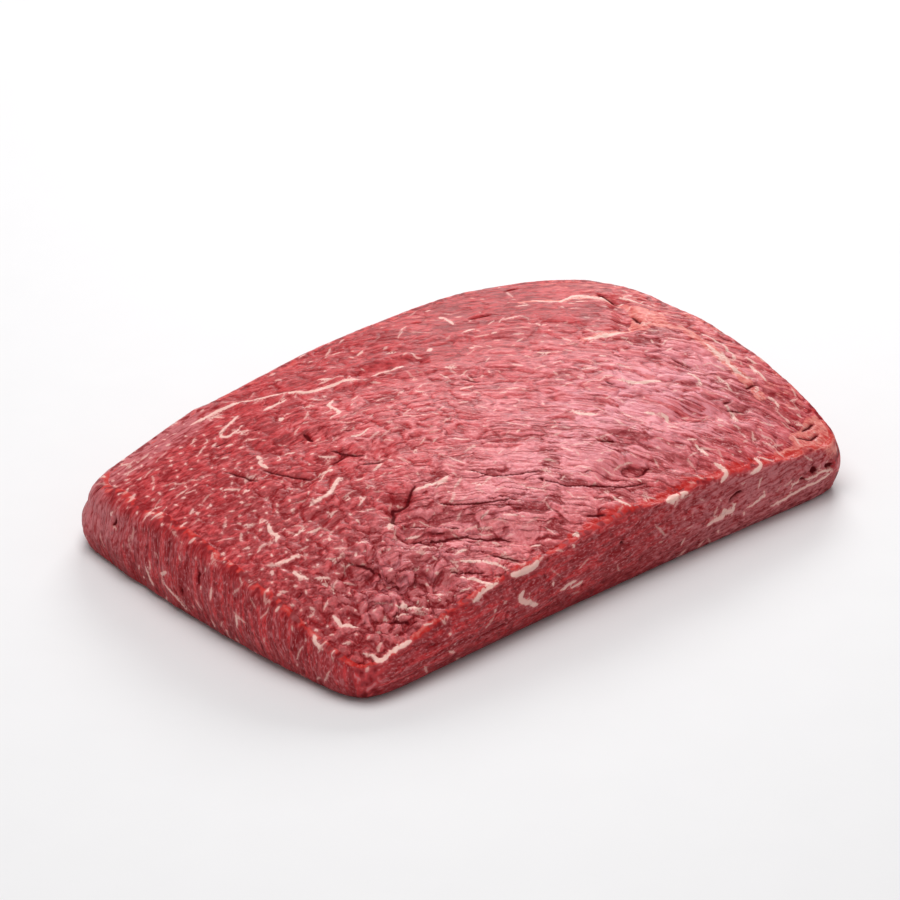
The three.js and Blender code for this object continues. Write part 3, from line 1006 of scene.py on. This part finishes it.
def marbling_tree():
    """Raises the folds, strands and lumps, then lays the lines as marks and as relief."""
    tree = bpy.data.node_groups.new("marbling", "GeometryNodeTree")
    tree.interface.new_socket("Geometry", in_out="OUTPUT", socket_type="NodeSocketGeometry")
    inputs = {"Geometry": "Geometry", "Streaks": "Object", "Cuts": "Object", "Material": "Material"}
    for key in MarblingSizes.__annotations__:
        inputs[socket_name(key)] = "Int" if key == "seed" else "Float"
    for name, kind in inputs.items():
        tree.interface.new_socket(name, in_out="INPUT", socket_type="NodeSocket" + kind)
    n = Marbling(tree)
    given = n.add("NodeGroupInput").outputs

    heights = []
    for grain in ("top_grain", "wall_grain"):
        parts = []
        for away, reach, key, share in zip(
                n.furrows(n.mark(grain, "FLOAT_VECTOR")), (0.15, 0.13, 0.3),
                ("Fold depth", "Strand depth", "Lump depth"), ("rough", "rough", "lumps")):
            rounded = n.maths("POWER", n.maths("DIVIDE", away, reach, clamp=True), 0.65)
            parts.append(n.times(given[key], n.mark(share), n.plus(rounded, -0.7)))
        heights.append(n.plus(*parts))
    height = n.value("ShaderNodeMix", {0: n.mark("wall"), 2: heights[0], 3: heights[1]})
    slab = n.raised(given["Geometry"], height)

    def strewn(kind, share, shift, swing, strength):
        sizes = (given[kind + " " + size] for size in ("spacing", "length", "width"))
        return n.strewn_lines(
            slab, *sizes, n.mark(share), n.plus(given["Seed"], shift), swing, strength)

    flecks = strewn("Fleck", "fat_share", 0, 0.7, (0.45, 0.85))
    dots = strewn("Dot", "dot_share", 100, 1.5, (0.4, 0.85))
    faint = strewn("Streak", "faint_share", 200, 1.1, (0.25, 0.6))
    slits = strewn("Slit", "slit_share", 40, 0.35, (1.0, 1.0))
    marked = n.mark_lines(slab, n.laid_lines(slab, given["Streaks"], flecks, dots, faint), "fat")
    marked = n.mark_lines(marked, n.laid_lines(slab, given["Cuts"], slits), "cut")
    fat, cut, depth = n.mark("fat"), n.mark("cut"), given["Slit depth"]
    lift = n.times(given["Fat lift"], n.ramp(fat, -0.5, 0.5), n.mark("fat_strength"))
    drop = n.times(depth, n.ramp(cut, -0.9, 0.5), n.mark("cut_strength"))
    lip = n.times(depth, n.ramp(cut, -3.0, -1.4), n.ramp(cut, -0.4, -1.4), 0.22)
    moved = n.raised(marked, n.maths("SUBTRACT", n.plus(lift, lip), drop))
    whole = n.value("GeometryNodeRealizeInstances", {0: moved})
    finished = n.value("GeometryNodeSetMaterial", {0: whole, "Material": given["Material"]})
    n.add("NodeGroupOutput", {0: finished})
    return tree


def set_inputs(modifier, values):
    """Sets a Geometry Nodes modifier's inputs by the names of their sockets."""
    for item in modifier.node_group.interface.items_tree:
        if item.in_out == "INPUT" and item.name in values:
            modifier[item.identifier] = values[item.name]


class Finish(Nodes):
    """A material's nodes."""

    def __init__(self, name):
        self.material = bpy.data.materials.new(name)
        self.material.use_nodes = True
        super().__init__(self.material.node_tree)
        self.tree.nodes.clear()

    def mix(self, share, low, high):
        """Mixes two colours, each a socket or a plain colour."""
        low, high = (
            side if isinstance(side, bpy.types.NodeSocket) else (*side, 1) for side in (low, high))
        return self.add("ShaderNodeMix", {0: share, 6: low, 7: high}, data_type="RGBA").outputs[2]

    def surface(self, **sockets):
        shader = self.value("ShaderNodeBsdfPrincipled", {
            key.replace("_", " "): value for key, value in sockets.items()})
        self.add("ShaderNodeOutputMaterial", {0: shader})
        return self.material


class MeatFinish(Finish):
    """The marks and the noises along the grain that the layers of the meat's finish share."""

    def __init__(self, colours):
        super().__init__("raw_beef")
        self.colours = colours
        (self.rough, self.lumps, self.wall, self.rim, self.skin, self.silver, self.tone,
         self.bloom, self.seam) = (self.mark(name) for name in MARKS)
        self.fold, self.furrow, self.lump = self.furrows(self.grain())
        self.blotch = self.noise(7, 12, 1.5, 0.0, 3.0, 0.6)
        self.mottle = self.noise(2.4, 3.6, 1.0, 5.0, 2.0, 0.6)
        self.strand = self.noise(1.8, 3.8, 1.2, 3.0, 3.0, 0.5)
        self.band = self.noise(2.4, 16, 1.0, 13.0, 2.0, 0.5)
        self.thread = self.noise(0.8, 1.8, 0.8, 7.0, 2.0, 0.55)
        self.grit = self.noise(0.5, 0.8, 0.5, 11.0)
        self.fine = self.noise(1.5, 11, 1.2, 15.0, 2.0, 0.5)
        self.lined = self.plus(self.bloom, self.times(self.rough, 0.5))

    def mark(self, name):
        return self.add("ShaderNodeAttribute", attribute_name=name).outputs["Fac"]

    def grain(self):
        return self.value("ShaderNodeUVMap", uv_map="grain")

    def noise(self, across, along, drift, shift, detail=2.0, roughness=0.5):
        """Noise along the grain, which gives way to an even noise at the seams of the grain."""
        cells = self.grain_cells(self.grain(), across, along, drift)
        noise = self.soft_noise(cells, shift, detail, roughness)
        return self.value("ShaderNodeMix", {0: self.seam, 2: noise, 3: self.even_noise()})

    def even_noise(self):
        place = self.add("ShaderNodeTexCoord").outputs["Object"]
        sockets = {"Vector": place, "Scale": 280.0, "Detail": 1.5}
        return self.add("ShaderNodeTexNoise", sockets).outputs["Fac"]

    def inside_line(self, name):
        """How far inside the nearest line a point is, even where a line is thinner than a cell."""
        way = self.add("ShaderNodeAttribute", attribute_name=name + "_way").outputs["Vector"]
        away = self.add("ShaderNodeVectorMath", {0: way}, operation="LENGTH").outputs["Value"]
        width = self.mark(name + "_width")
        loose = self.plus(width, self.times(self.mark(name), -1), -0.5)
        return self.plus(width, self.times(self.maths("MAXIMUM", away, loose), -1))

    def bump(self, height, strength, distance, **normal):
        sockets = {"Strength": strength, "Distance": distance, "Height": height, **normal}
        return self.value("ShaderNodeBump", sockets)


def lean_paint(f):
    """The top: deep red lean, with painted shade in its hollows, pale fibres with painted
    highlights on its ridges, and a painted sheen over them.
    """
    # The lean's own blotches and mottling, with painted shade in its hollows below
    shade = f.plus(
        f.ramp(f.blotch, 0.6, 0.38, 0.0, 0.45),
        f.times(f.tone, f.plus(
            f.ramp(f.mottle, 0.64, 0.32, 0.05, 0.85), f.ramp(f.strand, 0.6, 0.4, 0.0, 0.3))),
        f.times(f.lined, f.ramp(f.fine, 0.47, 0.33, 0.0, 0.75)),
        f.ramp(f.mottle, 0.5, 0.35, 0.0, 0.38),
        f.ramp(f.strand, 0.46, 0.3, 0.0, 0.42),
        # Painted shade in the folds and furrows, and in the gaps between lumps
        f.times(f.rough, f.plus(
            f.ramp(f.fold, 0.065, 0.005, 0.0, 1.35), f.ramp(f.furrow, 0.06, 0.0, 0.0, 1.3))),
        f.times(f.lumps, f.ramp(f.lump, 0.13, 0.02, 0.0, 1.85)),
        f.ramp(f.thread, 0.46, 0.3, 0.0, 0.38))
    paint = f.mix(f.maths("MINIMUM", shade, 1.0), f.colours.lean, f.colours.deep)
    out_of_furrows = f.times(f.ramp(f.furrow, 0.02, 0.09), f.ramp(f.fold, 0.02, 0.08))
    pale = f.plus(
        f.times(f.ramp(f.strand, 0.48, 0.66), out_of_furrows, 0.72),
        f.ramp(f.thread, 0.5, 0.7, 0.0, 0.5),
        # Painted highlights on the tops of the lumps and beside the folds
        f.times(f.ramp(f.lump, 0.12, 0.32), f.lumps, 0.9),
        f.times(f.ramp(f.fold, 0.05, 0.12), f.ramp(f.rough, 0.3, 1.1), 0.5))
    pale = f.times(pale, f.ramp(f.tone, 0.0, 0.36, 1.0, 0.4))
    paint = f.mix(f.maths("MINIMUM", pale, 1.0), paint, f.colours.pale)
    # The painted sheen: pale pink laid over the top where the soft light shines off it, thinner in
    # the furrows
    sheen_reach = f.plus(f.times(out_of_furrows, 0.82), 0.18)
    painted_sheen_share = f.times(f.bloom, f.ramp(f.strand, 0.3, 0.58, 0.35, 0.84), sheen_reach)
    return f.mix(painted_sheen_share, paint, f.colours.bloom)


def wall_paint(f):
    """The walls: banded and mottled along their grain, and darkened towards the foot with painted
    shade.
    """
    wall, lean, deep, slit, silver = (
        getattr(f.colours, name) for name in ("wall", "lean", "deep", "slit", "silver"))
    striped = f.ramp(f.silver, 0.1, 0.5, 1.0, 0.45)
    paint = f.mix(f.times(f.ramp(f.band, 0.44, 0.62), striped), wall, lean)
    for share, over in (
            (f.times(f.ramp(f.band, 0.48, 0.34, 0.0, 0.9), striped), deep),
            (f.ramp(f.strand, 0.48, 0.34, 0.0, 0.6), deep),
            (f.ramp(f.thread, 0.48, 0.3, 0.0, 0.85), deep),
            (f.ramp(f.thread, 0.52, 0.68, 0.0, 0.85), silver),
            (f.ramp(f.mottle, 0.44, 0.32, 0.0, 0.6), slit),
            (f.ramp(f.strand, 0.54, 0.68, 0.0, 0.55), silver),
            # Painted shade towards the foot of the walls
            (f.tone, f.mix(f.ramp(f.strand, 0.35, 0.6), slit, deep))):
        paint = f.mix(share, paint, over)
    return paint


def add_skins(f, paint):
    """Lays the pale skin, the silver skin and the wet red rim, partly a painted glow, on the paint,
    all with ragged edges."""
    ragged = f.plus(f.spread(f.strand, 1.3), f.spread(f.mottle, 0.9))
    film = f.ramp(f.plus(f.skin, ragged), 0.3, 0.75, 0.0, 0.9)
    thin = f.ramp(f.plus(f.thread, f.mottle), 1.15, 0.8, 0.0, 0.7)
    paint = f.mix(film, paint, f.mix(thin, f.colours.skin, f.colours.lean))

    sheen = f.ramp(f.plus(f.silver, ragged), 0.3, 0.85, 0.0, 0.75)
    thin = f.ramp(f.plus(f.thread, f.strand), 1.0, 0.8, 0.0, 0.7)
    silver = f.mix(thin, f.colours.silver, f.colours.wall)
    silver = f.mix(f.ramp(f.fine, 0.5, 0.36, 0.0, 0.75), silver, f.colours.deep)
    paint = f.mix(sheen, paint, silver)

    patchy = f.plus(f.rim, ragged, f.spread(f.blotch, 1.2))
    rim_share = f.times(f.ramp(patchy, 0.35, 0.75, 0.0, 0.85), f.ramp(f.rim, 0.08, 0.3))
    # Orange painted highlights streak the rim
    bright = f.ramp(f.thread, 0.52, 0.78, 0.0, 0.45)
    return f.mix(rim_share, paint, f.mix(bright, f.colours.rim, f.colours.skin))


def add_lines(f, paint):
    """Lays the fat and the cuts on the paint, with painted shade along and inside the cuts, and
    gives how deep in a cut each point is too.
    """
    white = f.mark("fat_strength")
    edge = f.plus(f.inside_line("fat"), f.spread(f.grit, 0.8), f.spread(f.thread, 0.9))
    gap = f.plus(f.inside_line("cut"), f.spread(f.grit, 0.5))
    hollow = f.ramp(gap, -0.35, 0.2, 0.0, 0.95)
    for share, over in (
            (f.times(f.ramp(edge, -1.3, 0.0, 0.0, 0.35), white), f.colours.pale),
            (f.times(f.ramp(edge, -0.35, 0.25), white), f.colours.fat),
            # Painted shade: deep red beside each cut, and the slit colour inside it
            (f.ramp(gap, -1.2, 0.0, 0.0, 0.5), f.colours.deep),
            (hollow, f.colours.slit)):
        paint = f.mix(share, paint, over)
    return paint, hollow


def fibre_bumps(f):
    """The furrows, strands, threads and grit as bumps, one on the other."""
    groove = f.plus(
        f.times(f.rough, f.plus(f.ramp(f.furrow, 0.0, 0.1), f.ramp(f.fold, 0.0, 0.06))),
        f.times(f.lumps, f.ramp(f.lump, 0.0, 0.2)))
    normal = f.bump(groove, 0.75, 0.55 * MM)
    for height, strength, distance in (
            (f.plus(f.strand, f.times(f.mottle, 0.5)), 0.7, 0.6 * MM),
            (f.times(f.fine, f.lined), 0.7, 0.6 * MM),
            (f.thread, 0.5, 0.35 * MM),
            (f.grit, 0.25, 0.12 * MM)):
        normal = f.bump(height, strength, distance, Normal=normal)
    return normal


def meat_finish(colours):
    """Moist raw beef: lean, pale strands, marbling, wet red rims and thin skin, with painted shade,
    painted highlights and a painted sheen.
    """
    f = MeatFinish(colours)
    paint = f.mix(f.times(f.wall, 0.9), lean_paint(f), wall_paint(f))
    paint, hollow = add_lines(f, add_skins(f, paint))
    roughness = f.plus(
        f.ramp(f.strand, 0.3, 0.7, -0.08, 0.08), f.times(f.wall, 0.08), f.times(hollow, 0.3),
        colours.roughness)
    wetter = f.plus(f.times(f.wall, -0.5), f.times(f.lumps, 1.8), f.times(f.rough, 0.8), 1)
    gloss = f.times(f.plus(f.times(hollow, -1), 1), wetter, colours.gloss)
    normal = fibre_bumps(f)
    return f.surface(
        Base_Color=paint, Roughness=roughness, Normal=normal, Coat_Normal=normal,
        IOR=1.4, Specular_IOR_Level=0.1, Coat_Weight=gloss, Coat_Roughness=0.2, Coat_IOR=1.34,
        Subsurface_Weight=0.08, Subsurface_Radius=(1.0, 0.3, 0.2), Subsurface_Scale=2.5 * MM,
    )


def link(thing):
    bpy.context.scene.collection.objects.link(thing)
    return thing


def mesh_points(mesh):
    """The places of a mesh's points, one in each row."""
    points = np.zeros(len(mesh.vertices) * 3, np.float32)
    mesh.vertices.foreach_get("co", points)
    return points.reshape(-1, 3).astype(float)


def fit_to_frame(mesh):
    """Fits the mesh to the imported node's box, which it fills to within a hair."""
    low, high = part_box("roast")
    points = mesh_points(mesh)
    least, most = points.min(axis=0), points.max(axis=0)
    points = np.array(low) + (points - least) * (np.array(high) - np.array(low)) / (most - least)
    mesh.vertices.foreach_set("co", points.astype(np.float32).ravel())
    mesh.update()


class ROAST_OT_meat(bpy.types.Operator):
    """Build the slab with its relief, marbling and finish"""

    bl_idname = "roast.meat"
    bl_label = "Roast"

    def execute(self, context):
        sizes, marbling = context.scene.roast_sizes, context.scene.roast_marbling
        mesh = Skin(sizes).mesh()
        self.mark_shares(mesh)
        form = Slab(sizes.long_side / MM, sizes.short_side / MM)
        slab = link(bpy.data.objects.new("bare_slab", mesh))
        streaks = link(line_object("streaks", form, (
            (on_top, FAT_ON_TOP, 0.9), (on_near_wall, FAT_ON_NEAR_WALL, 0.8),
            (on_thin_end, FAT_ON_THIN_END, 0.7))))
        cuts = link(line_object("cuts", form, (
            (on_top, CUTS_ON_TOP, 1.0), (on_near_wall, CUTS_ON_NEAR_WALL, 2.0),
            (on_thin_end, CUTS_ON_THIN_END, 1.0))))
        nodes = slab.modifiers.new("marbling", "NODES")
        nodes.node_group = marbling_tree()
        keys = MarblingSizes.__annotations__
        set_inputs(nodes, {socket_name(key): getattr(marbling, key) for key in keys} | {
            "Streaks": streaks, "Cuts": cuts,
            "Material": meat_finish(context.scene.roast_colours),
        })
        context.view_layer.update()
        graph = context.evaluated_depsgraph_get()
        finished = bpy.data.meshes.new_from_object(
            slab.evaluated_get(graph), preserve_all_data_layers=True, depsgraph=graph)
        for helper in (slab, streaks, cuts):
            bpy.data.objects.remove(helper)
        if len(finished.vertices) < len(mesh.vertices):
            raise RuntimeError("the marbling tree gave no slab")
        fit_to_frame(finished)
        roast = link(bpy.data.objects.new("roast_meat", finished))
        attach(roast, "root")
        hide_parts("roast")
        return {"FINISHED"}

    @staticmethod
    def mark_shares(mesh):
        """Marks how much fat and how many slits each point has, and where relief is held back."""
        x, y, z = mesh_points(mesh).T / MM
        wall = np.zeros(len(x), np.float32)
        mesh.attributes["wall"].data.foreach_get("value", wall)
        thin_end = smooth_step(-45, -95, x)
        on_top = wall < 0.5
        low = smooth_step(1, 3, z)
        fat = (0.06 + 0.05 * thin_end + 0.06 * smooth_step(-30, -75, y)
               + 0.07 * patch(x, y, (-72, -18), (34, 34)))
        fat = np.where(on_top, fat, 0.02) * low
        dots = np.where(on_top, 0.6 * thin_end, 0.04 * low)
        faint = np.where(on_top, 0.4 - 0.2 * thin_end - 0.2 * far_side(x, y), 0.15 * low)
        add_marks(mesh, {
            "fat_share": fat, "dot_share": dots, "faint_share": faint,
            "slit_share": np.where(on_top, 0.035, 0.03), "free": smooth_step(0.3, 3, z)})


def soft_light(name, place, size, power):
    """A soft rectangle of light that shines on the middle of the roast."""
    lamp = bpy.data.lights.new(name, "AREA")
    lamp.shape = "RECTANGLE"
    lamp.size, lamp.size_y = size
    lamp.energy = power
    light = link(bpy.data.objects.new(name, lamp))
    light.location = place
    way = Vector((0, 0, LIT_HEIGHT * MM)) - Vector(place)
    light.rotation_euler = way.to_track_quat("-Z", "Y").to_euler()


class ROAST_OT_stage(bpy.types.Operator):
    """Set up the floor, the lights and the camera"""

    bl_idname = "roast.stage"
    bl_label = "Stage"

    def execute(self, context):
        scene, stage = context.scene, context.scene.roast_stage
        reach = 4
        mesh = bpy.data.meshes.new("floor")
        mesh.from_pydata([(-reach, -reach, 0), (reach, -reach, 0), (reach, reach, 0),
                          (-reach, reach, 0)], [], [(0, 1, 2, 3)])
        paper = Finish("floor_paper")
        grain = paper.add("ShaderNodeTexNoise", {"Scale": 300.0}).outputs["Fac"]
        paint = paper.mix(paper.ramp(grain, 0.3, 0.7, 0.0, 0.03), stage.floor, (0.6, 0.6, 0.6))
        mesh.materials.append(paper.surface(Base_Color=paint, Roughness=0.6))
        link(bpy.data.objects.new("floor", mesh))

        soft_light("back_light", (1.0, 0.93, 0.74), (0.8, 0.6), stage.key_power)
        soft_light("top_light", (-0.15, 0.1, 1.3), (1.0, 1.0), stage.top_power)

        world = bpy.data.worlds.new("studio")
        world.use_nodes = True
        sky = world.node_tree.nodes["Background"].inputs
        sky["Color"].default_value = (1, 1, 1, 1)
        sky["Strength"].default_value = stage.sky
        scene.world = world
        scene.view_settings.view_transform = "Standard"

        a, e = stage.azimuth, stage.elevation
        back = Vector((math.sin(a) * math.cos(e), -math.cos(a) * math.cos(e), math.sin(e)))
        right = Vector((math.cos(a), math.sin(a), 0))
        up = back.cross(right)
        target = Vector((-FOOTPRINT_MIDDLE[0], -FOOTPRINT_MIDDLE[1], AIM_HEIGHT))
        target = (target + right * AIM_SHIFT[0] + up * AIM_SHIFT[1]) * MM
        view = bpy.data.cameras.new("camera")
        view.lens = stage.lens
        view.sensor_width = 36
        camera = link(bpy.data.objects.new("camera", view))
        camera.location = target + back * stage.distance
        camera.rotation_mode = "QUATERNION"
        camera.rotation_quaternion = (-back).to_track_quat("-Z", "Y")
        scene.camera = camera
        return {"FINISHED"}


class ROAST_PT_panel(bpy.types.Panel):
    bl_label = "Flat iron roast"
    bl_idname = "ROAST_PT_panel"
    bl_space_type = "VIEW_3D"
    bl_region_type = "UI"
    bl_category = "Roast"

    def draw(self, context):
        layout = self.layout
        for title, operator, groups in (
            ("Roast", "roast.meat", ("roast_sizes", "roast_marbling", "roast_colours")),
            ("Stage", "roast.stage", ("roast_stage",)),
        ):
            box = layout.box()
            box.label(text=title)
            for name in groups:
                group = getattr(context.scene, name)
                for key in type(group).__annotations__:
                    box.prop(group, key)
            box.operator(operator)


GROUPS = {
    "roast_sizes": SlabSizes,
    "roast_marbling": MarblingSizes,
    "roast_colours": MeatColours,
    "roast_stage": StageSettings,
}
CLASSES = (*GROUPS.values(), ROAST_OT_meat, ROAST_OT_stage, ROAST_PT_panel)


def register():
    for each in CLASSES:
        bpy.utils.register_class(each)
    for name, group in GROUPS.items():
        setattr(bpy.types.Scene, name, PointerProperty(type=group))


def unregister():
    for name in GROUPS:
        delattr(bpy.types.Scene, name)
    for each in reversed(CLASSES):
        bpy.utils.unregister_class(each)


def main():
    register()
    bpy.ops.roast.meat()
    bpy.ops.roast.stage()


if __name__ == "__main__":
    main()
